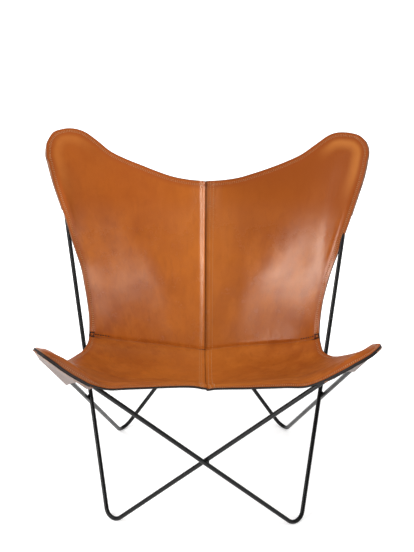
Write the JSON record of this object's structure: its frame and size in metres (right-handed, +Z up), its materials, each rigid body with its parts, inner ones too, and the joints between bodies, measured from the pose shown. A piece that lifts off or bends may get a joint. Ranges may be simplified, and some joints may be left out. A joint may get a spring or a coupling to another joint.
{
  "type": "butterfly sling chair",
  "caption": "Low lounge chair: leather sling hung by pockets from the raised corners of a bent steel rod frame.",
  "frame": {"origin": "on the floor, at the middle of the bounding box", "axes": "+X to the chair's left-to-right seen from the front, +Y from the front to the back, +Z up"},
  "size_m": [0.8524, 0.7416, 0.8803],
  "materials": {
    "black_steel": "satin black powder coat",
    "tan_leather": "smooth cognac tan saddle leather",
    "raw_suede": "raw flesh side, greyish pink suede"
  },
  "bodies": {
    "root": {"rod_loop_a": "black_steel", "rod_loop_b": "black_steel", "weld_front": "black_steel", "weld_back": "black_steel", "weld_left": "black_steel", "weld_right": "black_steel", "back_panel_left": "tan_leather", "back_panel_right": "tan_leather", "seat_panel_left": "tan_leather", "seat_panel_right": "tan_leather", "centre_strip_back": "tan_leather", "centre_strip_seat": "tan_leather", "back_pocket_left": "raw_suede", "back_pocket_right": "raw_suede", "front_pocket_left": "raw_suede", "front_pocket_right": "raw_suede"}
  },
  "joints": []
}
